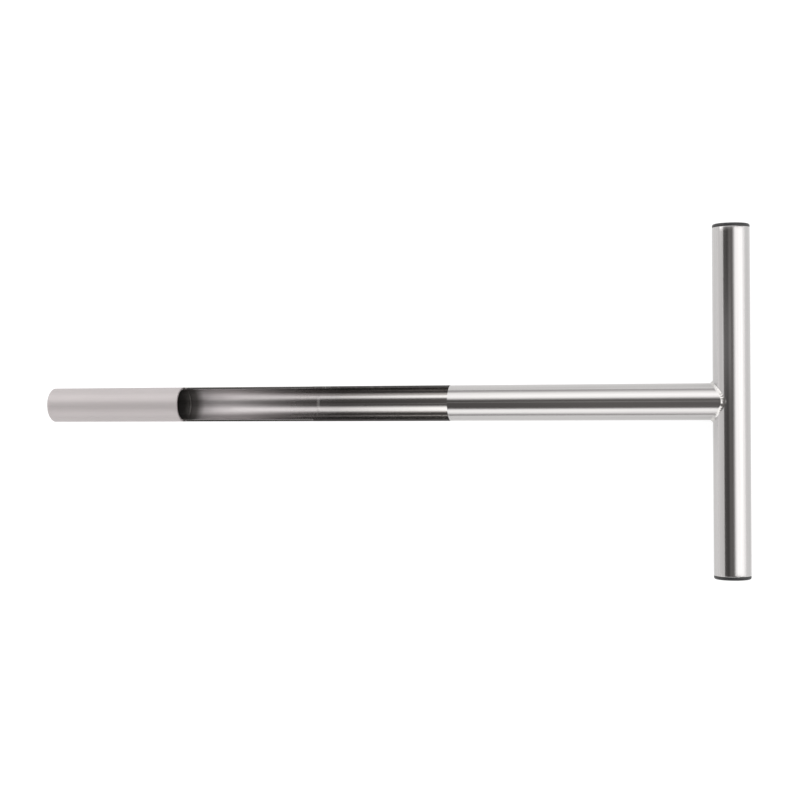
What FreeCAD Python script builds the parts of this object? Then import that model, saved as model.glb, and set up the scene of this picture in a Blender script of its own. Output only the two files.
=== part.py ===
import FreeCAD, Part
import os
import math
import Sketcher
import PartDesign

# Soil core sampler: bevelled cutting head, half-round trough, polished shaft
# with a coped end, and a T-handle of the same tube closed by moulded plugs.
#
# Frame: X runs along the shaft, the cutting lip towards -X and the handle
# towards +X.  The handle lies along Y.  The window of the trough opens to +Z.
# Origin: bottom centre of the bounding box, so every tube rests on Z = 0.

doc = FreeCAD.newDocument("soil_auger")

# ---------------------------------------------------------------- dimensions
sheet = doc.addObject("Spreadsheet::Sheet", "Dims")
DIMS = [
    ("overall_length", "511.6", "tip to far side of handle"),
    ("tube_outer_radius", "12.5", "25 mm tube"),
    ("tube_inner_radius", "11", "1.5 mm wall"),
    ("head_bore_radius", "10.8", "bore of the cutting head, a little under the tube's"),
    ("lip_outer_radius", "11.3", "outside of the cutting edge"),
    ("bevel_length", "1.6", "outside bevel of the lip"),
    ("head_length", "104.3", "cutting head"),
    ("head_weld_width", "1.8", "butt weld, head to trough"),
    ("root_height", "0.12", "root bead inside the head weld"),
    ("trough_length", "98.2", "lower half of the window"),
    ("mid_weld_width", "1", "butt weld, trough to shaft"),
    ("mid_root_height", "0.12", "root bead inside the mid weld"),
    ("window_in_shaft", "100.8", "upper half of the window"),
    ("cope_radius", "14.1", "cope at the handle, leaves the weld gap"),
    ("handle_length", "233.1", "handle tube without plugs"),
    ("handle_chamfer", "0.4", "deburred tube ends"),
    ("plug_flange_radius", "12.4", "flange of the end plug"),
    ("plug_flange_thickness", "2.4", "flange of the end plug"),
    ("plug_edge_radius", "1.4", "rounded rim of the flange"),
    ("plug_shank_radius", "10.3", "shank between the ribs"),
    ("plug_rib_radius", "10.97", "sealing ribs, seated"),
    ("plug_shank_length", "14", "shank"),
    ("plug_hollow_radius", "8.6", "hollow of the shank"),
    ("plug_hollow_depth", "12.5", "hollow of the shank"),
    ("bead_toe_handle", "3", "weld toe on the handle, from the handle axis"),
    ("bead_leg", "1.6", "weld leg along the handle"),
    ("bead_sag", "0.1", "hollow of the weld face at the sides"),
    ("bead_crown_sag", "0.27", "hollow of the weld face at the crown"),
    ("weld_gap", "0.03", "clearance that keeps the weld off the tubes"),
]
for i, (alias, value, note) in enumerate(DIMS, start=1):
    sheet.set("A%d" % i, note)
    sheet.set("B%d" % i, value)
    sheet.setAlias("B%d" % i, alias)
doc.recompute()


def dim(alias):
    return float(sheet.get(alias))


def plane(body, role):
    for feature in body.Origin.OriginFeatures:
        if feature.Role == role:
            return feature
    raise RuntimeError("no plane " + role)


def new_body(name, x_expr):
    body = doc.addObject("PartDesign::Body", name)
    body.Label = name
    body.setExpression(".Placement.Base.x", x_expr)
    body.setExpression(".Placement.Base.z", "Dims.tube_outer_radius")
    return body


def new_sketch(body, name, role):
    sketch = body.newObject("Sketcher::SketchObject", name)
    sketch.AttachmentSupport = [(plane(body, role), "")]
    sketch.MapMode = "FlatFace"
    return sketch


def value_of(expr):
    names = {alias: dim(alias) for alias, _, _ in DIMS}
    total = 0.0
    text = expr.replace("Dims.", "")
    for term in text.replace("- ", "+ -").split("+"):
        term = term.strip()
        if not term:
            continue
        sign = 1.0
        if term.startswith("-"):
            sign, term = -1.0, term[1:].strip()
        scale = 1.0
        if "/" in term:
            term, low = term.split("/")
            scale = 1.0 / float(low)
        if "*" in term:
            term, factor = term.split("*")
            scale *= float(factor)
        term = term.strip()
        total += sign * scale * (names[term] if term in names else float(term))
    return total


def polygon(sketch, points):
    """Closed polygon; each point is a pair of dimension expressions."""
    xy = [(value_of(a), value_of(b)) for a, b in points]
    n = len(points)
    for k in range(n):
        x0, y0 = xy[k]
        x1, y1 = xy[(k + 1) % n]
        sketch.addGeometry(Part.LineSegment(FreeCAD.Vector(x0, y0, 0), FreeCAD.Vector(x1, y1, 0)), False)
    for k in range(n):
        sketch.addConstraint(Sketcher.Constraint("Coincident", k, 2, (k + 1) % n, 1))
    for k in range(n):
        for kind, axis, expr, value in (("DistanceX", -2, points[k][0], xy[k][0]),
                                        ("DistanceY", -1, points[k][1], xy[k][1])):
            if abs(value) < 1e-9:
                sketch.addConstraint(Sketcher.Constraint("PointOnObject", k, 1, axis))
            else:
                index = sketch.addConstraint(Sketcher.Constraint(kind, -1, 1, k, 1, value))
                sketch.setExpression("Constraints[%d]" % index, expr)


def circle(sketch, alias, cx_expr=None):
    cx = value_of(cx_expr) if cx_expr else 0.0
    k = sketch.addGeometry(Part.Circle(FreeCAD.Vector(cx, 0, 0), FreeCAD.Vector(0, 0, 1), dim(alias)), False)
    index = sketch.addConstraint(Sketcher.Constraint("Radius", k, dim(alias)))
    sketch.setExpression("Constraints[%d]" % index, "Dims." + alias)
    if cx_expr:
        sketch.addConstraint(Sketcher.Constraint("PointOnObject", k, 3, -1))
        index = sketch.addConstraint(Sketcher.Constraint("DistanceX", -1, 1, k, 3, cx))
        sketch.setExpression("Constraints[%d]" % index, cx_expr)
    else:
        sketch.addConstraint(Sketcher.Constraint("Coincident", k, 3, -1, 1))


def half_ring(sketch, r_in, r_out):
    """Lower half of an annulus about the sketch origin."""
    centre, up = FreeCAD.Vector(0, 0, 0), FreeCAD.Vector(0, 0, 1)
    ri, ro = dim(r_in), dim(r_out)
    sketch.addGeometry(Part.ArcOfCircle(Part.Circle(centre, up, ro), math.pi, 2 * math.pi), False)
    sketch.addGeometry(Part.ArcOfCircle(Part.Circle(centre, up, ri), math.pi, 2 * math.pi), False)
    sketch.addGeometry(Part.LineSegment(FreeCAD.Vector(-ro, 0, 0), FreeCAD.Vector(-ri, 0, 0)), False)
    sketch.addGeometry(Part.LineSegment(FreeCAD.Vector(ri, 0, 0), FreeCAD.Vector(ro, 0, 0)), False)
    add = lambda *a: sketch.addConstraint(Sketcher.Constraint(*a))
    add("Coincident", 0, 3, -1, 1)
    add("Coincident", 1, 3, -1, 1)
    add("Coincident", 0, 1, 2, 1)
    add("Coincident", 2, 2, 1, 1)
    add("Coincident", 1, 2, 3, 1)
    add("Coincident", 3, 2, 0, 2)
    add("PointOnObject", 2, 1, -1)
    add("PointOnObject", 2, 2, -1)
    add("PointOnObject", 3, 1, -1)
    add("PointOnObject", 3, 2, -1)
    sketch.setExpression("Constraints[%d]" % add("Radius", 0, ro), "Dims." + r_out)
    sketch.setExpression("Constraints[%d]" % add("Radius", 1, ri), "Dims." + r_in)


def revolve(body, sketch, name, axis, angle=360.0):
    feature = body.newObject("PartDesign::Revolution", name)
    feature.Profile = sketch
    feature.ReferenceAxis = (sketch, [axis])
    feature.Angle = angle
    return feature


def symmetric(feature, on=True):
    feature.SideType = "Symmetric" if on else "One side"


HALF = "Dims.overall_length / 2"
X_TIP = "-" + HALF
X_HEAD_END = X_TIP + " + Dims.head_length"
X_TROUGH = X_HEAD_END + " + Dims.head_weld_width"
X_MID = X_TROUGH + " + Dims.trough_length"
X_SHAFT = X_MID + " + Dims.mid_weld_width"
X_HANDLE = HALF + " - Dims.tube_outer_radius"
SHAFT_RUN = ("Dims.overall_length - Dims.tube_outer_radius - Dims.head_length"
             " - Dims.head_weld_width - Dims.trough_length - Dims.mid_weld_width")

# ------------------------------------------------------------- cutting head
# Turned profile: straight bore, outside bevel that leaves a thin lip.
head = new_body("cutting_head", X_TIP)
sk = new_sketch(head, "HeadProfile", "XY_Plane")
polygon(sk, [("0", "Dims.head_bore_radius"),
             ("0", "Dims.lip_outer_radius"),
             ("Dims.bevel_length", "Dims.tube_outer_radius"),
             ("Dims.head_length", "Dims.tube_outer_radius"),
             ("Dims.head_length", "Dims.head_bore_radius")])
revolve(head, sk, "HeadTurned", "H_Axis")
doc.recompute()

# ---------------------------------------------------------------- head weld
# Half ring under the window, flush outside, with a low root bead inside.
def weld_ring(name, x_expr, width, root, left_inner):
    body = new_body(name, x_expr)
    sketch = new_sketch(body, name + "_profile", "XY_Plane")
    polygon(sketch, [("0", "Dims.tube_outer_radius"),
                     ("Dims." + width, "Dims.tube_outer_radius"),
                     ("Dims." + width, "Dims.tube_inner_radius"),
                     ("Dims." + width + " * 0.7", left_inner + " - Dims." + root),
                     ("Dims." + width + " * 0.3", left_inner + " - Dims." + root),
                     ("0", left_inner)])
    turned = revolve(body, sketch, name + "_half_turn", "H_Axis", 180.0)
    doc.recompute()
    if body.Shape.BoundBox.ZMax > dim("tube_outer_radius") + 1.0:
        turned.Reversed = not turned.Reversed
        doc.recompute()
    return body


head_weld = weld_ring("head_weld", X_HEAD_END, "head_weld_width", "root_height", "Dims.head_bore_radius")

# ------------------------------------------------------------------- trough
trough = new_body("trough_tube", X_TROUGH)
sk = new_sketch(trough, "TroughSection", "YZ_Plane")
half_ring(sk, "tube_inner_radius", "tube_outer_radius")
pad = trough.newObject("PartDesign::Pad", "TroughRun")
pad.Profile = sk
pad.setExpression("Length", "Dims.trough_length")
doc.recompute()

# ----------------------------------------------------------------- mid weld
trough_weld = weld_ring("trough_weld", X_MID, "mid_weld_width", "mid_root_height", "Dims.tube_inner_radius")

# -------------------------------------------------------------------- shaft
# Full tube; its first stretch loses its upper half to the window, and its
# far end is coped to sit on the handle with a gap for the weld.
shaft = new_body("shaft_tube", X_SHAFT)
sk = new_sketch(shaft, "ShaftSection", "YZ_Plane")
circle(sk, "tube_outer_radius")
circle(sk, "tube_inner_radius")
pad = shaft.newObject("PartDesign::Pad", "ShaftRun")
pad.Profile = sk
pad.setExpression("Length", SHAFT_RUN)
doc.recompute()
volume_before = shaft.Shape.Volume

sk = new_sketch(shaft, "WindowSketch", "XZ_Plane")
polygon(sk, [("0", "0"),
             ("Dims.window_in_shaft", "0"),
             ("Dims.window_in_shaft", "Dims.tube_outer_radius + 2"),
             ("0", "Dims.tube_outer_radius + 2")])
window = shaft.newObject("PartDesign::Pocket", "Window")
window.Profile = sk
window.setExpression("Length", "Dims.tube_outer_radius * 4")
symmetric(window)
doc.recompute()
volume_window = shaft.Shape.Volume
ring = math.pi * (dim("tube_outer_radius") ** 2 - dim("tube_inner_radius") ** 2)
if abs((volume_before - volume_window) - ring * dim("window_in_shaft") / 2) > 5.0:
    raise RuntimeError("window cut is wrong")

sk = new_sketch(shaft, "CopeSketch", "XZ_Plane")
circle(sk, "cope_radius", SHAFT_RUN)
cope = shaft.newObject("PartDesign::Pocket", "Cope")
cope.Profile = sk
cope.setExpression("Length", "Dims.tube_outer_radius * 4")
symmetric(cope)
doc.recompute()
if not shaft.Shape.Volume < volume_window - 100.0:
    raise RuntimeError("cope cut nothing")

# ------------------------------------------------------------------- handle
handle = new_body("handle_tube", X_HANDLE)
sk = new_sketch(handle, "HandleSection", "XZ_Plane")
circle(sk, "tube_outer_radius")
circle(sk, "tube_inner_radius")
pad = handle.newObject("PartDesign::Pad", "HandleRun")
pad.Profile = sk
pad.setExpression("Length", "Dims.handle_length")
symmetric(pad)
doc.recompute()
rims = []
for number, edge in enumerate(pad.Shape.Edges, start=1):
    box = edge.BoundBox
    if box.YLength < 1e-6 and abs(box.XLength - 2 * dim("tube_outer_radius")) < 1e-3:
        rims.append("Edge%d" % number)
if len(rims) != 2:
    raise RuntimeError("handle rims not found")
bevel = handle.newObject("PartDesign::Chamfer", "HandleDeburr")
bevel.Base = (pad, rims)
bevel.setExpression("Size", "Dims.handle_chamfer")
doc.recompute()


# ---------------------------------------------------------------- end plugs
# Moulded insert: domed flange, hollow shank with three ribs.
def end_plug(name, side):
    body = new_body(name, X_HANDLE)
    body.setExpression(".Placement.Base.y", ("" if side > 0 else "-") + "Dims.handle_length / 2")
    if side < 0:
        body.Placement.Rotation = FreeCAD.Rotation(FreeCAD.Vector(0, 0, 1), 180)
    sketch = new_sketch(body, name + "_profile", "XY_Plane")
    shank, rib = "Dims.plug_shank_radius", "Dims.plug_rib_radius"
    points = [("0", "Dims.plug_flange_thickness"),
              ("Dims.plug_flange_radius", "Dims.plug_flange_thickness"),
              ("Dims.plug_flange_radius", "0"),
              (shank, "0")]
    for k in (0.22, 0.5, 0.78):
        points += [(shank, "-Dims.plug_shank_length * %.2f" % (k - 0.06)),
                   (rib, "-Dims.plug_shank_length * %.2f" % k),
                   (shank, "-Dims.plug_shank_length * %.2f" % (k + 0.06))]
    points += [(shank, "-Dims.plug_shank_length"),
               ("Dims.plug_hollow_radius", "-Dims.plug_shank_length"),
               ("Dims.plug_hollow_radius", "-Dims.plug_shank_length + Dims.plug_hollow_depth"),
               ("0", "-Dims.plug_shank_length + Dims.plug_hollow_depth")]
    polygon(sketch, points)
    turned = revolve(body, sketch, name + "_turned", "V_Axis")
    doc.recompute()
    rim = []
    for number, edge in enumerate(turned.Shape.Edges, start=1):
        box = edge.BoundBox
        if (abs(box.YMin - dim("plug_flange_thickness")) < 1e-4 and box.YLength < 1e-6
                and abs(box.XLength - 2 * dim("plug_flange_radius")) < 1e-3):
            rim.append("Edge%d" % number)
    if len(rim) != 1:
        raise RuntimeError("plug rim not found")
    dome = body.newObject("PartDesign::Fillet", name + "_rim")
    dome.Base = (turned, rim)
    dome.setExpression("Radius", "Dims.plug_edge_radius")
    doc.recompute()
    return body


plug_left = end_plug("end_plug_left", +1)
plug_right = end_plug("end_plug_right", -1)

# --------------------------------------------------------------- handle weld
# Hollow-faced fillet round the saddle line where the coped shaft meets the
# handle.  Eight closed curves follow the saddle: edge of the cope, two on the
# weld face, toe on the handle, two along the handle, root on the handle and
# root on the cope.  Ruled faces between them close the weld.
R = dim("tube_outer_radius")
Ri = dim("tube_inner_radius")
Rc = dim("cope_radius")
GAP = dim("weld_gap")
TOE_HANDLE = dim("bead_toe_handle")
LEG = dim("bead_leg")
SAG = dim("bead_sag")
CROWN_SAG = dim("bead_crown_sag")
V = FreeCAD.Vector
Ro, Rb, Rk, Ra = R + GAP, Ri + GAP, Rc - GAP, R - 0.005
S = math.sqrt(Ro ** 2 - TOE_HANDLE ** 2)
rows = [[] for _ in range(8)]
STEPS = 72
for k in range(STEPS):
    a = 2 * math.pi * k / STEPS
    c, s = math.cos(a), math.sin(a)
    cope_edge = V(-math.sqrt(Rk ** 2 - (Ra * s) ** 2), Ra * c, Ra * s)
    handle_toe = V(-math.sqrt(Ro ** 2 - (S * s) ** 2), (R + LEG) * c, S * s)
    normal = V(0, c, s) + V(-math.sqrt(1 - (S * s / Ro) ** 2), 0, S * s / Ro)
    normal.normalize()
    sag = SAG + (CROWN_SAG - SAG) * s * s
    face_a = cope_edge + (handle_toe - cope_edge) * 0.33 - normal * sag
    face_b = cope_edge + (handle_toe - cope_edge) * 0.67 - normal * sag
    root_handle = V(-math.sqrt(Ro ** 2 - (Rb * s) ** 2), Rb * c, Rb * s)
    root_cope = V(-math.sqrt(Rk ** 2 - (Rb * s) ** 2), Rb * c, Rb * s)
    along = []
    for t in (1 / 3.0, 2 / 3.0):
        y = handle_toe.y + (root_handle.y - handle_toe.y) * t
        z = handle_toe.z + (root_handle.z - handle_toe.z) * t
        along.append(V(-math.sqrt(Ro ** 2 - z * z), y, z))
    for row, point in zip(rows, [cope_edge, face_a, face_b, handle_toe, along[0], along[1],
                                 root_handle, root_cope]):
        row.append(point)
edges = []
for row in rows:
    curve = Part.BSplineCurve()
    curve.interpolate(Points=row, PeriodicFlag=True, Parameters=[k / float(STEPS) for k in range(STEPS + 1)])
    edges.append(curve.toShape())
faces = [Part.makeRuledSurface(edges[i], edges[(i + 1) % len(edges)]) for i in range(len(edges))]
bead = Part.makeSolid(Part.makeShell(faces))
if bead.Volume < 0:
    bead.reverse()
handle_weld = doc.addObject("Part::Feature", "handle_weld")
handle_weld.Label = "handle_weld"
handle_weld.Shape = bead
handle_weld.Placement = FreeCAD.Placement(V(dim("overall_length") / 2 - R, 0, R), FreeCAD.Rotation())
doc.recompute()

# ------------------------------------------------------------ check and write
NODES = [head, head_weld, trough, trough_weld, shaft, handle, handle_weld, plug_left, plug_right]
for obj in doc.Objects:
    if "Invalid" in obj.State or "Error" in obj.State:
        raise RuntimeError("%s failed: %s" % (obj.Label, obj.State))
for obj in NODES:
    shape = obj.Shape
    if shape.isNull() or not shape.isValid() or len(shape.Solids) != 1:
        raise RuntimeError("%s has a bad shape (%d solids)" % (obj.Label, len(shape.Solids)))

os.makedirs("parts", exist_ok=True)
for obj in NODES:
    obj.Shape.exportStep("parts/%s.step" % obj.Label)
    b = obj.Shape.BoundBox
    print("%-15s vol %9.2f  x %8.2f %8.2f  y %8.2f %8.2f  z %6.2f %6.2f"
          % (obj.Label, obj.Shape.Volume, b.XMin, b.XMax, b.YMin, b.YMax, b.ZMin, b.ZMax))
for i, a in enumerate(NODES):
    for b in NODES[i + 1:]:
        if a.Shape.BoundBox.intersect(b.Shape.BoundBox):
            common = a.Shape.common(b.Shape).Volume
            if common > 0.001:
                print("overlap", a.Label, b.Label, round(common, 4))
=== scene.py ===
import math

import bmesh
import bpy
import numpy as np
from mathutils import Matrix, Vector


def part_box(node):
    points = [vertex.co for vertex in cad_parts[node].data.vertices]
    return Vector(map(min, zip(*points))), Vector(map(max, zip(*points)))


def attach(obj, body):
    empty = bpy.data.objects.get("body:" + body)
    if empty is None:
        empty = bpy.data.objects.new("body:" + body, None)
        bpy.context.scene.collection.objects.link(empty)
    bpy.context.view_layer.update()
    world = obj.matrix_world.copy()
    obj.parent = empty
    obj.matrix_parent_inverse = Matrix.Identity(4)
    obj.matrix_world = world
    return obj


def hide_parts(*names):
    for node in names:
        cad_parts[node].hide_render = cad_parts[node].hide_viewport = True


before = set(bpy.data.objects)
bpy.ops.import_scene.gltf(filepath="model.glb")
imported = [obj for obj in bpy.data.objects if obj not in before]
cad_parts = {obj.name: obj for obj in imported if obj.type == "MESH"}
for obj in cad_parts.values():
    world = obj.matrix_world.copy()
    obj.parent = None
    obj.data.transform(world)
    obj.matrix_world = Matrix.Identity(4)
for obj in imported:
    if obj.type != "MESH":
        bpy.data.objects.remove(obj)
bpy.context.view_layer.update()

# ------------------------------------------------------------------ numbers
# Metres, in the CAD frame.  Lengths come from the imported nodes' boxes.
MM = 0.001
head_lo, head_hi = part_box("cutting_head")
hw_lo, hw_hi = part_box("head_weld")
tr_lo, tr_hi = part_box("trough_tube")
tw_lo, tw_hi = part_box("trough_weld")
sh_lo, sh_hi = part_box("shaft_tube")
ha_lo, ha_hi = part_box("handle_tube")
R = (ha_hi.z - ha_lo.z) / 2
ZC = (ha_hi.z + ha_lo.z) / 2
XH = (ha_hi.x + ha_lo.x) / 2
RI = R - 1.5 * MM
RB = 10.8 * MM
RLIP = 11.3 * MM
BEVEL = 1.6 * MM
RC = 14.1 * MM
WINDOW_END = sh_lo.x + 100.8 * MM
N = 192                      # facets round a tube


def new_object(name, verts, faces):
    mesh = bpy.data.meshes.new(name)
    mesh.from_pydata([tuple(v) for v in verts], [], [tuple(f) for f in faces])
    mesh.validate()
    mesh.update()
    obj = bpy.data.objects.new(name, mesh)
    bpy.context.scene.collection.objects.link(obj)
    bm = bmesh.new()
    bm.from_mesh(mesh)
    bmesh.ops.remove_doubles(bm, verts=bm.verts, dist=1e-7)
    bmesh.ops.recalc_face_normals(bm, faces=bm.faces)
    bm.to_mesh(mesh)
    bm.free()
    for p in mesh.polygons:
        p.use_smooth = True
    return obj


def soften(obj, width, segments=2, angle=32.0):
    """Rounds the sharp edges of a piece and keeps its long faces flat-shaded."""
    b = obj.modifiers.new("deburr", "BEVEL")
    b.width = width
    b.segments = segments
    b.limit_method = "ANGLE"
    b.angle_limit = math.radians(angle)
    b.harden_normals = False
    b.use_clamp_overlap = True
    w = obj.modifiers.new("normals", "WEIGHTED_NORMAL")
    w.keep_sharp = False
    w.weight = 80
    return obj


def smooth_noise(x, seed, octaves=3):
    """Repeatable 1-D value noise in -1..1."""
    total, amp, norm = 0.0, 1.0, 0.0
    for o in range(octaves):
        f = x * 2 ** o + seed * 17.3 + o * 5.1
        i = math.floor(f)
        t = f - i
        t = t * t * (3 - 2 * t)

        def h(n):
            v = math.sin(n * 127.1 + seed * 311.7 + o * 74.7) * 43758.5453
            return 2 * (v - math.floor(v)) - 1
        total += amp * (h(i) * (1 - t) + h(i + 1) * t)
        norm += amp
        amp *= 0.5
    return total / norm


# ------------------------------------------------------------------- meshes
def lathe(name, profile, centre, axis, segments=N):
    """Closed profile of (along, radius), turned about an axis through centre."""
    verts, faces = [], []
    m = len(profile)
    for j in range(segments):
        a = 2 * math.pi * j / segments
        c, s = math.cos(a), math.sin(a)
        for t, r in profile:
            if axis == "X":
                verts.append((centre[0] + t, centre[1] + r * c, centre[2] + r * s))
            else:
                verts.append((centre[0] + r * c, centre[1] + t, centre[2] + r * s))
    for j in range(segments):
        k = (j + 1) % segments
        for i in range(m):
            n = (i + 1) % m
            if profile[i][1] < 1e-9 and profile[n][1] < 1e-9:
                continue
            faces.append((j * m + i, j * m + n, k * m + n, k * m + i))
    return new_object(name, verts, faces)


def arc(cx, cy, r, a0, a1, n):
    return [(cx + r * math.cos(math.radians(a0 + (a1 - a0) * i / n)),
             cy + r * math.sin(math.radians(a0 + (a1 - a0) * i / n))) for i in range(n + 1)]


def gutter(name, xs, open_cell, x_of=None, rim_drop=None):
    """Tube wall on a grid; open_cell(x, j) leaves a cell out, and the wall is closed round what is left.
    Columns 0 and N/2 lie at mid height.  rim_drop lowers the cut edge of the window."""
    verts, faces = [], []
    nx = len(xs)

    def vid(i, j, inner):
        return (i * N + j % N) * 2 + (1 if inner else 0)
    for i, x in enumerate(xs):
        for j in range(N):
            a = 2 * math.pi * j / N
            for r in (R, RI):
                y, z = r * math.cos(a), r * math.sin(a)
                px = x
                if x_of is not None:
                    px = x_of(i, x, r, a)
                if rim_drop is not None and j in (0, N // 2):
                    z -= rim_drop(x, j, r)
                verts.append((px, y, ZC + z))
    keep = [[not open_cell(0.5 * (xs[i] + xs[i + 1]), j) for j in range(N)] for i in range(nx - 1)]
    for i in range(nx - 1):
        for j in range(N):
            if not keep[i][j]:
                continue
            faces.append((vid(i, j, 0), vid(i, j + 1, 0), vid(i + 1, j + 1, 0), vid(i + 1, j, 0)))
            faces.append((vid(i, j, 1), vid(i + 1, j, 1), vid(i + 1, j + 1, 1), vid(i, j + 1, 1)))
            for di, (p, q) in ((-1, ((i, j), (i, j + 1))), (1, ((i + 1, j), (i + 1, j + 1)))):
                ii = i + di
                if ii < 0 or ii >= nx - 1 or not keep[ii][j]:
                    faces.append((vid(*p, 0), vid(*q, 0), vid(*q, 1), vid(*p, 1)))
            for dj, (p, q) in ((-1, ((i, j), (i + 1, j))), (1, ((i, j + 1), (i + 1, j + 1)))):
                if not keep[i][(j + dj) % N]:
                    faces.append((vid(*p, 0), vid(*q, 0), vid(*q, 1), vid(*p, 1)))
    mesh_faces = faces
    used = sorted({v for f in mesh_faces for v in f})
    index = {v: k for k, v in enumerate(used)}
    obj = new_object(name, [verts[v] for v in used], [tuple(index[v] for v in f) for f in mesh_faces])
    # index 1 takes the bore steel, which also carries painted shade next to the head
    for p in obj.data.polygons:                  # the bore has its own finish
        rr = [math.hypot(obj.data.vertices[v].co.y, obj.data.vertices[v].co.z - ZC) for v in p.vertices]
        p.material_index = 1 if max(rr) < RI + 0.3 * MM else 0
    return obj


def span(a, b, step):
    n = max(1, int(round((b - a) / step)))
    return [a + (b - a) * i / n for i in range(n + 1)]


# cutting head: rolled lip, outside bevel with soft shoulders, straight bore
L = head_hi.x - head_lo.x
lip_r = (RLIP - RB) / 2
profile = []
profile += arc(lip_r, (RLIP + RB) / 2, lip_r, 270, 90, 8)                 # rounded cutting edge
slope = (R - RLIP) / BEVEL
for t in (0.15, 0.5, 0.85):
    profile.append((lip_r + (BEVEL - lip_r) * t, RLIP + (R - RLIP) * math.sin(t * math.pi / 2) ** 0.9))
profile.append((BEVEL + 0.4 * MM, R - 0.004 * MM))
profile.append((BEVEL + 1.2 * MM, R))
profile += [(x, R) for x in span(0.012, L - 0.003, 0.015)]
profile += arc(L - 0.25 * MM, R - 0.25 * MM, 0.25 * MM, 90, 0, 4)
profile += arc(L - 0.2 * MM, RB + 0.2 * MM, 0.2 * MM, 0, -90, 4)
profile += [(x, RB) for x in reversed(span(0.006, L - 0.004, 0.015))]
head = lathe("head_turned", profile, (head_lo.x, 0, ZC), "X")
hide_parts("cutting_head")


# trough and shaft: cut wall with a slightly uneven sawn edge
def rim(x, j, r):
    d = 0.035 * MM * (1 + smooth_noise(x * 260, 3.0 if j == 0 else 8.0))
    if j == 0:
        for centre, width, depth in ((-0.0492, 0.0011, 0.34), (-0.0462, 0.0009, 0.26),
                                     (-0.0428, 0.0012, 0.38), (-0.0392, 0.0010, 0.30),
                                     (-0.031, 0.0010, 0.12), (-0.018, 0.0014, 0.10),
                                     (-0.006, 0.0012, 0.16), (0.0005, 0.0010, 0.20)):
            u = (x - centre) / width
            d += depth * MM * math.exp(-u * u)
    return d


trough = gutter("trough_gutter", span(tr_lo.x, tr_hi.x, 0.0008),
                lambda x, j: 0 <= j < N // 2, rim_drop=rim)
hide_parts("trough_tube")

shaft_end = XH - math.sqrt(RC ** 2 - R ** 2)
xs = span(sh_lo.x, WINDOW_END, 0.0008)
tail = span(WINDOW_END, XH - 0.016, 0.02)
xs = xs + tail[1:] + [0.0]


def cope(i, x, r, a):
    if i == len(xs) - 1:
        return XH - math.sqrt(RC ** 2 - (r * math.sin(a)) ** 2)
    return x


shaft_xs = xs[:-1] + [XH - 0.0145]
xs = shaft_xs
shaft = gutter("shaft_polished", shaft_xs, lambda x, j: x < WINDOW_END and 0 <= j < N // 2,
               x_of=cope, rim_drop=lambda x, j, r: rim(x, j, r) if x < WINDOW_END - 0.0004 else 0.0)
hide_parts("shaft_tube")
for o in (trough, shaft):
    soften(o, 0.16 * MM, 2)

# handle tube with deburred ends
HL = (ha_hi.y - ha_lo.y) / 2
ch = 0.45 * MM
hp = [(-HL + 0.1 * MM, RI + 0.1 * MM), (-HL, RI + 0.2 * MM)]
hp += [(-HL, R - ch)] + arc(-HL + ch, R - ch, ch, 180, 90, 5)[1:]
hp += [(y, R) for y in span(-HL + 0.004, HL - 0.004, 0.012)]
hp += arc(HL - ch, R - ch, ch, 90, 0, 5) + [(HL, RI + 0.2 * MM), (HL - 0.1 * MM, RI + 0.1 * MM)]
hp += [(y, RI) for y in reversed(span(-HL + 0.002, HL - 0.002, 0.03))]
handle = lathe("handle_bar", hp, (XH, 0, ZC), "Y")
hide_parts("handle_tube")


# end plugs: domed flange, ribbed hollow shank
def plug(name, node, side):
    lo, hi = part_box(node)
    rf, th, er = 12.4 * MM, 2.4 * MM, 1.25 * MM
    crown = 0.0
    p = [(th, 0.0)]
    for k in range(1, 9):
        r = (rf - er) * k / 8
        p.append((th - 0.18 * MM * (r / rf) ** 2 - crown, r))
    top = p[-1][0]
    for k in range(1, 9):
        a = math.radians(90 * k / 8)
        p.append((top - er * (1 - math.cos(a)), rf - er + er * math.sin(a)))
    p += [(0.25 * MM, rf), (0.06 * MM, rf - 0.06 * MM), (0.0, rf - 0.25 * MM), (0.0, 10.5 * MM), (-0.2 * MM, 10.3 * MM)]
    for k in (0.22, 0.5, 0.78):
        for t, r in ((-0.06, 10.3), (-0.02, 10.75), (0.0, 10.95), (0.03, 10.8), (0.06, 10.3)):
            p.append((-14 * MM * (k + t), r * MM))
    p += [(-13.8 * MM, 10.3 * MM), (-14 * MM, 10.1 * MM), (-14 * MM, 8.7 * MM), (-13.8 * MM, 8.6 * MM),
          (-1.8 * MM, 8.6 * MM), (-1.5 * MM, 8.3 * MM), (-1.5 * MM, 0.0)]
    p = [(side * t, r) for t, r in p]
    o = lathe(name, p, (XH, side * HL, ZC), "Y", 144)
    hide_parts(node)
    return o


plug_l = plug("plug_cap_left", "end_plug_left", 1)
plug_r = plug("plug_cap_right", "end_plug_right", -1)


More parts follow.
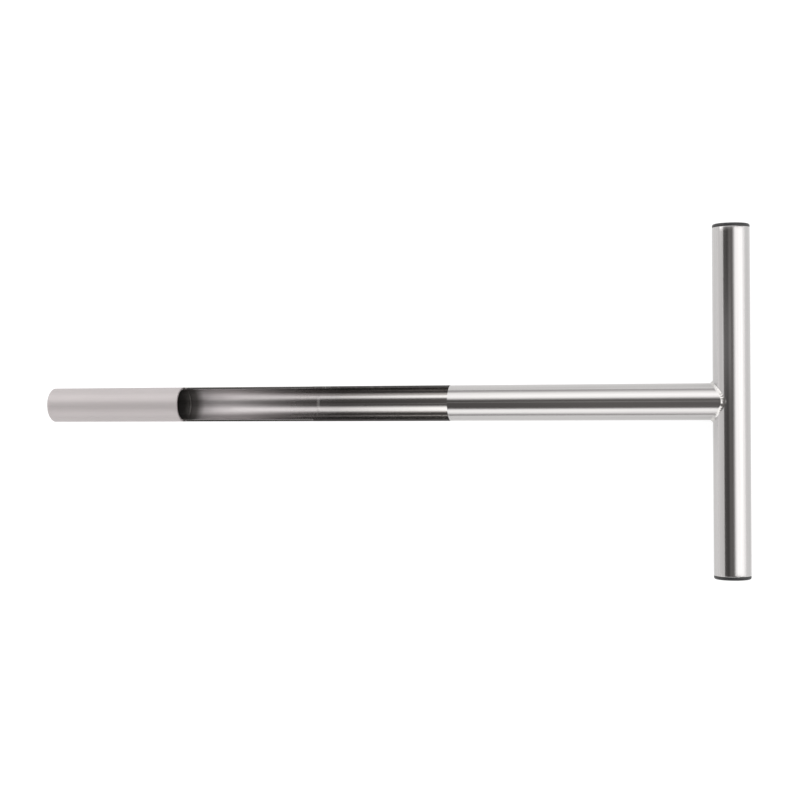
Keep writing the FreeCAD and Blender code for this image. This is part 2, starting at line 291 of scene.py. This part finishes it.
# weld rings across the trough: flush outside, low rippled root inside
def half_weld(name, node, r_left, r_right, root, pitch):
    lo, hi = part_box(node)
    w = hi.x - lo.x
    verts, faces = [], []
    seg, cols = 160, 9
    rows = []
    for j in range(seg + 1):
        a = math.pi + math.pi * j / seg
        s = a * RI
        ripple = 0.5 + 0.5 * math.cos(2 * math.pi * s / pitch)
        pts = [(lo.x, R), (lo.x + w / 2, R - 0.02 * MM), (hi.x, R)]
        for c in range(cols):
            t = 1 - c / (cols - 1)
            base = r_left + (r_right - r_left) * t
            bulge = root * (1 - (2 * t - 1) ** 2) * (0.75 + 0.25 * ripple)
            bulge += 0.02 * MM * smooth_noise(s * 900, 5.0 + c * 0.2)
            pts.append((lo.x + w * t, base - max(0.0, bulge)))
        row = []
        for x, r in pts:
            row.append(len(verts))
            verts.append((x, r * math.cos(a), ZC + r * math.sin(a)))
        rows.append(row)
    m = len(rows[0])
    for j in range(seg):
        for i in range(m):
            n = (i + 1) % m
            faces.append((rows[j][i], rows[j][n], rows[j + 1][n], rows[j + 1][i]))
    faces.append(tuple(rows[0]))
    faces.append(tuple(reversed(rows[-1])))
    o = new_object(name, verts, faces)
    for p in o.data.polygons:
        if abs(p.normal.z) > 0.9 and p.center.z > ZC - 0.2 * MM:
            p.use_smooth = False
    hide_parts(node)
    return o


ring_head = half_weld("weld_ring_head", "head_weld", RB, RI, 0.10 * MM, 1.6 * MM)
ring_mid = half_weld("weld_ring_mid", "trough_weld", RI, RI, 0.05 * MM, 1.1 * MM)


# saddle weld: hollow-faced fillet with overlapping crescent ripples
def saddle_bead():
    Ro, Rb, Rk, Ra = R + 0.006 * MM, RI + 0.03 * MM, RC - 0.006 * MM, R - 0.004 * MM
    toe_h, leg = 3.0 * MM, 1.6 * MM
    S = math.sqrt(Ro ** 2 - toe_h ** 2)
    steps, across = 900, 20
    verts, faces, rows = [], [], []
    run, last = 0.0, None
    for k in range(steps):
        a = 2 * math.pi * k / steps
        c, s = math.cos(a), math.sin(a)
        toe1 = Vector((-math.sqrt(Rk ** 2 - (Ra * s) ** 2), Ra * c, Ra * s))
        toe2 = Vector((-math.sqrt(Ro ** 2 - (S * s) ** 2), (R + leg) * c, S * s))
        mid = (toe1 + toe2) / 2
        if last is not None:
            run += (mid - last).length
        last = mid
        nrm = Vector((-math.sqrt(max(0.0, 1 - (S * s / Ro) ** 2)), c, s + S * s / Ro))
        nrm.normalize()
        sag = (0.12 + 0.17 * s * s) * MM
        # the welder's hand: lumpy on one flank, even on the other
        lumpy = 0.35 + 0.65 * max(0.0, min(1.0, (c - 0.12) / 0.25))
        pitch = 1.9 * MM
        row = []
        for i in range(across + 1):
            t = i / across
            hollow = 4 * t * (1 - t)
            crescent = (2 * t - 1) ** 2
            phase = (run + 0.22 * MM * smooth_noise(run * 300, 4.0) + 1.1 * MM * crescent) / pitch
            phase -= math.floor(phase)
            step = math.exp(-((phase - 0.5) / 0.33) ** 2)
            h = -sag * hollow + 0.17 * MM * lumpy * step * hollow ** 0.6
            h += 0.03 * MM * hollow * smooth_noise(run * 700 + 3 * t, 2.0)
            p = toe1.lerp(toe2, t) + nrm * h
            row.append(p)
        rh = Vector((-math.sqrt(Ro ** 2 - (Rb * s) ** 2), Rb * c, Rb * s))
        rcpt = Vector((-math.sqrt(Rk ** 2 - (Rb * s) ** 2), Rb * c, Rb * s))
        for t in (1 / 3, 2 / 3):
            y = toe2.y + (rh.y - toe2.y) * t
            z = toe2.z + (rh.z - toe2.z) * t
            row.append(Vector((-math.sqrt(Ro ** 2 - z * z), y, z)))
        row += [rh, rcpt]
        ids = []
        for p in row:
            ids.append(len(verts))
            verts.append((XH + p.x, p.y, ZC + max(min(p.z, R - 0.001 * MM), -R + 0.001 * MM)))
        rows.append(ids)
    m = len(rows[0])
    for k in range(steps):
        q = (k + 1) % steps
        for i in range(m):
            n = (i + 1) % m
            faces.append((rows[k][i], rows[k][n], rows[q][n], rows[q][i]))
    o = new_object("weld_bead_saddle", verts, faces)
    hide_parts("handle_weld")
    return o


bead = saddle_bead()

for o in (head, trough, shaft, handle, plug_l, plug_r, ring_head, ring_mid, bead):
    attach(o, "root")


# ---------------------------------------------------------------- materials
def material(name):
    mat = bpy.data.materials.new(name)
    mat.use_nodes = True
    nt = mat.node_tree
    nt.nodes.clear()
    out = nt.nodes.new("ShaderNodeOutputMaterial")
    bsdf = nt.nodes.new("ShaderNodeBsdfPrincipled")
    nt.links.new(bsdf.outputs[0], out.inputs[0])
    return mat, nt, bsdf


def node(nt, kind, **values):
    n = nt.nodes.new(kind)
    for k, v in values.items():
        if k in n.inputs:
            n.inputs[k].default_value = v
        else:
            setattr(n, k, v)
    return n


def ramp(nt, stops):
    n = nt.nodes.new("ShaderNodeValToRGB")
    el = n.color_ramp.elements
    while len(el) > 2:
        el.remove(el[-1])
    for i, (pos, col) in enumerate(stops):
        e = el[i] if i < 2 else el.new(pos)
        e.position = pos
        e.color = col if len(col) == 4 else (*col, 1)
    return n


def coords(nt, scale):
    tc = nt.nodes.new("ShaderNodeTexCoord")
    mp = node(nt, "ShaderNodeMapping")
    mp.inputs["Scale"].default_value = scale
    nt.links.new(tc.outputs["Object"], mp.inputs["Vector"])
    return mp.outputs["Vector"]


def noise(nt, vector, scale, detail=4.0, rough=0.55):
    n = node(nt, "ShaderNodeTexNoise")
    n.inputs["Scale"].default_value = scale
    n.inputs["Detail"].default_value = detail
    n.inputs["Roughness"].default_value = rough
    nt.links.new(vector, n.inputs["Vector"])
    return n.outputs["Fac"]


def map_range(nt, value, a, b, c, d):
    n = nt.nodes.new("ShaderNodeMapRange")
    n.inputs["From Min"].default_value = a
    n.inputs["From Max"].default_value = b
    n.inputs["To Min"].default_value = c
    n.inputs["To Max"].default_value = d
    nt.links.new(value, n.inputs["Value"])
    return n.outputs["Result"]


def add(nt, a, b, op="ADD"):
    n = nt.nodes.new("ShaderNodeMath")
    n.operation = op
    for i, v in enumerate((a, b)):
        if isinstance(v, (int, float)):
            n.inputs[i].default_value = v
        else:
            nt.links.new(v, n.inputs[i])
    return n.outputs[0]


def steel(name, dark, light, rough_lo, rough_hi, along="X", streak=1.0, bump=0.00003, grain=0.0, aniso=0.0):
    mat, nt, bsdf = material(name)
    fine = {"X": (6.0, 900.0, 900.0), "Y": (900.0, 6.0, 900.0)}[along]
    wide = {"X": (1.2, 160.0, 160.0), "Y": (160.0, 1.2, 160.0)}[along]
    f1 = noise(nt, coords(nt, fine), 1.0, 5.0, 0.6)
    f2 = noise(nt, coords(nt, wide), 1.0, 3.0, 0.5)
    f3 = noise(nt, coords(nt, (1, 1, 1)), 28.0, 3.0, 0.5)
    mix = add(nt, add(nt, f1, 0.5, "MULTIPLY"), add(nt, f2, 0.5, "MULTIPLY"))
    cr = ramp(nt, [(0.36, dark), (0.64, light)])
    nt.links.new(mix, cr.inputs["Fac"])
    nt.links.new(cr.outputs["Color"], bsdf.inputs["Base Color"])
    r = map_range(nt, add(nt, mix, add(nt, f3, 0.3, "MULTIPLY")), 0.45, 0.85, rough_lo, rough_hi)
    nt.links.new(r, bsdf.inputs["Roughness"])
    bsdf.inputs["Metallic"].default_value = 1.0
    bsdf.inputs["Anisotropic"].default_value = aniso
    height = add(nt, f1, streak, "MULTIPLY")
    if grain:
        g = noise(nt, coords(nt, (1, 1, 1)), 2600.0, 2.0, 0.6)
        height = add(nt, height, add(nt, g, grain, "MULTIPLY"))
    b = node(nt, "ShaderNodeBump")
    b.inputs["Strength"].default_value = 1.0
    b.inputs["Distance"].default_value = bump
    nt.links.new(height, b.inputs["Height"])
    nt.links.new(b.outputs["Normal"], bsdf.inputs["Normal"])
    return mat


polished = steel("steel_polished", (0.425, 0.414, 0.410), (0.495, 0.484, 0.478), 0.10, 0.17, "X", bump=0.0000035)
polished_y = steel("steel_handle", (0.435, 0.424, 0.422), (0.495, 0.484, 0.480), 0.10, 0.17, "Y", bump=0.0000035)
matte = steel("steel_matte", (0.49, 0.458, 0.458), (0.55, 0.518, 0.518), 0.60, 0.68, "X", streak=0.3, bump=0.00001, grain=1.0)
weld = steel("steel_weld", (0.46, 0.445, 0.43), (0.62, 0.61, 0.60), 0.10, 0.22, "Y", streak=0.4, bump=0.000015, grain=0.3)


def bore_steel(name):
    """Inside of the trough: a narrow band of painted shade at the head's mouth, dull near the head, then drawn-bright
    towards the handle.
    """
    mat, nt, bsdf = material(name)
    f1 = noise(nt, coords(nt, (7.0, 900.0, 900.0)), 1.0, 5.0, 0.6)
    f2 = noise(nt, coords(nt, (2.0, 220.0, 220.0)), 1.0, 3.0, 0.5)
    mix = add(nt, add(nt, f1, 0.5, "MULTIPLY"), add(nt, f2, 0.5, "MULTIPLY"))
    tc = nt.nodes.new("ShaderNodeTexCoord")
    sp = nt.nodes.new("ShaderNodeSeparateXYZ")
    nt.links.new(tc.outputs["Object"], sp.inputs[0])
    along = map_range(nt, sp.outputs["X"], -0.151, 0.050, 0.0, 1.0)
    # painted shade: the first stops make the trough near-black next to the head's dark mouth; the later stops are the
    # base tone along the trough
    tone_with_painted_shade = ramp(nt, [(0.0, (0.13, 0.122, 0.118)), (0.030, (0.17, 0.160, 0.156)), (0.060, (0.53, 0.503, 0.506)), (0.20, (0.545, 0.517, 0.52)), (0.30, (0.475, 0.452, 0.453)), (0.45, (0.375, 0.356, 0.354)), (0.57, (0.345, 0.332, 0.326)), (0.78, (0.45, 0.435, 0.425)), (1.0, (0.53, 0.513, 0.50))])
    nt.links.new(along, tone_with_painted_shade.inputs["Fac"])
    streaks = ramp(nt, [(0.35, (0.86, 0.86, 0.86)), (0.65, (1.08, 1.08, 1.08))])
    nt.links.new(mix, streaks.inputs["Fac"])
    mul = nt.nodes.new("ShaderNodeMixRGB")
    mul.blend_type = "MULTIPLY"
    mul.inputs["Fac"].default_value = 1.0
    nt.links.new(tone_with_painted_shade.outputs["Color"], mul.inputs["Color1"])
    nt.links.new(streaks.outputs["Color"], mul.inputs["Color2"])
    nt.links.new(mul.outputs["Color"], bsdf.inputs["Base Color"])
    rr = ramp(nt, [(0.0, (0.60,) * 3), (0.18, (0.44,) * 3), (0.30, (0.34,) * 3), (0.45, (0.24,) * 3), (0.60, (0.17,) * 3), (1.0, (0.13,) * 3)])
    nt.links.new(along, rr.inputs["Fac"])
    sep = nt.nodes.new("ShaderNodeSeparateColor")
    nt.links.new(rr.outputs["Color"], sep.inputs[0])
    r = add(nt, sep.outputs[0], map_range(nt, mix, 0.35, 0.65, -0.03, 0.04))
    nt.links.new(r, bsdf.inputs["Roughness"])
    bsdf.inputs["Metallic"].default_value = 1.0
    b = node(nt, "ShaderNodeBump")
    b.inputs["Distance"].default_value = 0.000005
    nt.links.new(f1, b.inputs["Height"])
    nt.links.new(b.outputs["Normal"], bsdf.inputs["Normal"])
    return mat


bore = bore_steel("steel_bore")
# painted shade: near-black steel that stands in for the shade inside the head's bore and over the weld root beneath it
inside_painted_shade = steel("steel_inside", (0.125, 0.118, 0.114), (0.165, 0.156, 0.150), 0.45, 0.58, "X", streak=0.4, bump=0.00001, grain=0.6)

plastic, nt, bsdf = material("plug_black")
g1 = noise(nt, coords(nt, (1, 1, 1)), 1800.0, 3.0, 0.6)
g2 = noise(nt, coords(nt, (1, 1, 1)), 90.0, 3.0, 0.5)
cr = ramp(nt, [(0.35, (0.010, 0.010, 0.011)), (0.7, (0.022, 0.021, 0.022))])
nt.links.new(g2, cr.inputs["Fac"])
nt.links.new(cr.outputs["Color"], bsdf.inputs["Base Color"])
nt.links.new(map_range(nt, g2, 0.3, 0.7, 0.38, 0.52), bsdf.inputs["Roughness"])
b = node(nt, "ShaderNodeBump")
b.inputs["Strength"].default_value = 0.6
b.inputs["Distance"].default_value = 0.00004
nt.links.new(g1, b.inputs["Height"])
nt.links.new(b.outputs["Normal"], bsdf.inputs["Normal"])

for o, mat in ((head, matte), (trough, polished), (shaft, polished), (handle, polished_y),
               (plug_l, plastic), (plug_r, plastic), (bead, weld), (ring_head, weld), (ring_mid, weld)):
    keep = [p.material_index for p in o.data.polygons]
    o.data.materials.clear()
    o.data.materials.append(mat)
    if o in (trough, shaft):
        o.data.materials.append(bore)
        o.data.polygons.foreach_set("material_index", keep)
    if o is ring_mid:
        o.data.materials.clear()
        o.data.materials.append(bore)
    # the head weld root gets the painted-shade steel
    if o is ring_head:
        o.data.materials.clear()
        o.data.materials.append(inside_painted_shade)
    # the head's bore faces get the painted-shade steel
    if o is head:
        o.data.materials.append(inside_painted_shade)
        for p in o.data.polygons:
            rr = [math.hypot(o.data.vertices[v].co.y, o.data.vertices[v].co.z - ZC) for v in p.vertices]
            p.material_index = 1 if max(rr) < RB + 0.25 * MM else 0
cover = {"cutting_head": matte, "head_weld": weld, "trough_tube": polished, "trough_weld": weld,
         "shaft_tube": polished, "handle_tube": polished_y, "handle_weld": weld,
         "end_plug_left": plastic, "end_plug_right": plastic}
for name, mat in cover.items():
    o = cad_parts[name]
    o.data.materials.clear()
    o.data.materials.append(mat)

# -------------------------------------------------------------------- stage
def panel(name, corners, strength, colour=(1, 1, 1)):
    """Rectangular softbox from its four corners, lit on the side that faces the object."""
    c = [Vector(p) for p in corners]
    centre = sum(c, Vector()) / 4
    ux, uy = c[1] - c[0], c[3] - c[0]
    light = bpy.data.lights.new(name, "AREA")
    light.shape = "RECTANGLE"
    light.size = ux.length
    light.size_y = uy.length
    light.color = colour
    light.energy = strength * ux.length * uy.length * math.pi
    o = bpy.data.objects.new(name, light)
    bpy.context.scene.collection.objects.link(o)
    x, y = ux.normalized(), uy.normalized()
    z = x.cross(y).normalized()
    if z.dot(Vector((0, 0, ZC)) - centre) > 0:     # a lamp shines along its -Z
        y, z = -y, -z
    m = Matrix((x, y, z)).transposed().to_4x4()
    m.translation = centre
    o.matrix_world = m
    return o


def polar(deg, dist):
    a = math.radians(deg)
    return math.sin(a) * dist, math.cos(a) * dist


def side_panel(name, a0, a1, dist, sign, x0, x1, strength):
    y0, z0 = polar(a0, dist)
    y1, z1 = polar(a1, dist)
    panel(name, [(x0, sign * y0, ZC + z0), (x1, sign * y0, ZC + z0),
                 (x1, sign * y1, ZC + z1), (x0, sign * y1, ZC + z1)], strength)


# each softbox is a fan of strips: full in the middle, feathered at both edges
for k, (a0, a1, level) in enumerate(((17, 22, 0.20), (22, 28, 0.75), (28, 34, 1.48), (34, 56, 1.83), (56, 64, 1.64),
                                     (64, 71, 1.24), (71, 79, 0.72), (79, 90, 0.34))):
    side_panel("softbox_left_%d" % k, a0, a1, 1.25, 1, -2.2, 1.1, level)
for k, (a0, a1, level) in enumerate(((35, 41, 0.50), (41, 48, 1.52), (48, 57, 1.75), (57, 64, 1.55), (64, 71, 1.30),
                                     (71, 79, 0.82), (79, 90, 0.20))):
    side_panel("softbox_right_%d" % k, a0, a1, 1.25, -1, -2.2, 1.1, level)


def end_panel(name, a0, a1, dist, half, strength):
    """Panel across the handle, from a0 to a1 degrees off vertical towards +X."""
    x0, z0 = polar(a0, dist)
    x1, z1 = polar(a1, dist)
    panel(name, [(XH + x0, -half, ZC + z0), (XH + x0, half, ZC + z0),
                 (XH + x1, half, ZC + z1), (XH + x1, -half, ZC + z1)], strength)


for k, (a0, a1, level) in enumerate(((12, 18, 0.30), (18, 23, 0.85), (23, 28, 1.45), (28, 34, 1.72), (34, 74, 1.92),
                                     (74, 82, 1.50), (82, 93, 1.20))):
    end_panel("softbox_end_%d" % k, a0, a1, 1.25, 0.42, level)
end_panel("card_tip_end", -45, -89, 1.6, 0.9, 0.84)
panel("strip_overhead", [(-1.6, 0.03, 1.35), (0.30, 0.03, 1.35), (0.30, 0.15, 1.35), (-1.6, 0.15, 1.35)], 0.17)

world = bpy.data.worlds.new("studio")
bpy.context.scene.world = world
world.use_nodes = True
wn = world.node_tree
bg = wn.nodes["Background"]
tc = wn.nodes.new("ShaderNodeTexCoord")
sep = wn.nodes.new("ShaderNodeSeparateXYZ")
wr = wn.nodes.new("ShaderNodeValToRGB")
wn.links.new(tc.outputs["Generated"], sep.inputs[0])
wn.links.new(sep.outputs["Z"], wr.inputs["Fac"])
side = wn.nodes.new("ShaderNodeMapRange")          # direction X, brought to 0..1
side.inputs["From Min"].default_value, side.inputs["From Max"].default_value = -1.0, 1.0
wn.links.new(sep.outputs["X"], side.inputs["Value"])
wx = wn.nodes.new("ShaderNodeValToRGB")
wn.links.new(side.outputs["Result"], wx.inputs["Fac"])
wm = wn.nodes.new("ShaderNodeMixRGB")
wm.blend_type = "MULTIPLY"
wm.inputs["Fac"].default_value = 1.0
wn.links.new(wr.outputs["Color"], wm.inputs["Color1"])
wn.links.new(wx.outputs["Color"], wm.inputs["Color2"])
wn.links.new(wm.outputs["Color"], bg.inputs["Color"])
x = wx.color_ramp.elements
x[0].position, x[0].color = 0.0, (1.0, 1.0, 1.0, 1)
x[1].position, x[1].color = 1.0, (1.0, 1.0, 1.0, 1)
for at, level in ((0.13, 0.95), (0.20, 0.55), (0.34, 0.42), (0.385, 0.62), (0.43, 1.0)):
    n = x.new(at)
    n.color = (level, level, level, 1)
e = wr.color_ramp.elements
e[0].position, e[0].color = 0.0, (0.45, 0.44, 0.44, 1)
e[1].position, e[1].color = 1.0, (0.215, 0.205, 0.20, 1)
m1 = e.new(0.20)
m1.color = (0.32, 0.31, 0.31, 1)
m2 = e.new(0.45)
m2.color = (0.215, 0.205, 0.20, 1)
bg.inputs["Strength"].default_value = 1.0

bpy.ops.mesh.primitive_plane_add(size=14, location=(0, 0, -0.0002))
floor = bpy.context.object
floor.name = "studio_floor"
fm, nt, bsdf = material("floor_pale")
fn = noise(nt, coords(nt, (1, 1, 1)), 3.0, 2.0, 0.5)
fr = ramp(nt, [(0.3, (0.24, 0.24, 0.24)), (0.7, (0.26, 0.26, 0.26))])
nt.links.new(fn, fr.inputs["Fac"])
nt.links.new(fr.outputs["Color"], bsdf.inputs["Base Color"])
bsdf.inputs["Roughness"].default_value = 0.9
bsdf.inputs["Emission Color"].default_value = (1, 1, 1, 1)
bsdf.inputs["Emission Strength"].default_value = 0.87
floor.data.materials.append(fm)

# ------------------------------------------------------------------- camera
cam_data = bpy.data.cameras.new("camera")
cam = bpy.data.objects.new("camera", cam_data)
bpy.context.scene.collection.objects.link(cam)
cam_data.sensor_fit = "HORIZONTAL"
cam_data.sensor_width = 36.0
cam_data.lens = 36.0 * 1579.5 / 800.0
cam_data.clip_start, cam_data.clip_end = 0.01, 100.0
right = Vector((0.965908421, -0.00593467831, -0.258815963))
down = Vector((-0.00579838202, -0.999982357, 0.00128998067))
fwd = Vector((-0.258819052, 0.000254710636, -0.965925791))
m = Matrix((right, -down, -fwd)).transposed().to_4x4()
m.translation = Vector((0.0605 * 0.98425 + XH - 0.00035, 0.0021 * 0.98425, 1.0964 * 0.98425 + ZC))
cam.matrix_world = m
bpy.context.scene.camera = cam
bpy.context.scene.view_settings.view_transform = "Standard"
bpy.context.scene.view_settings.look = "None"
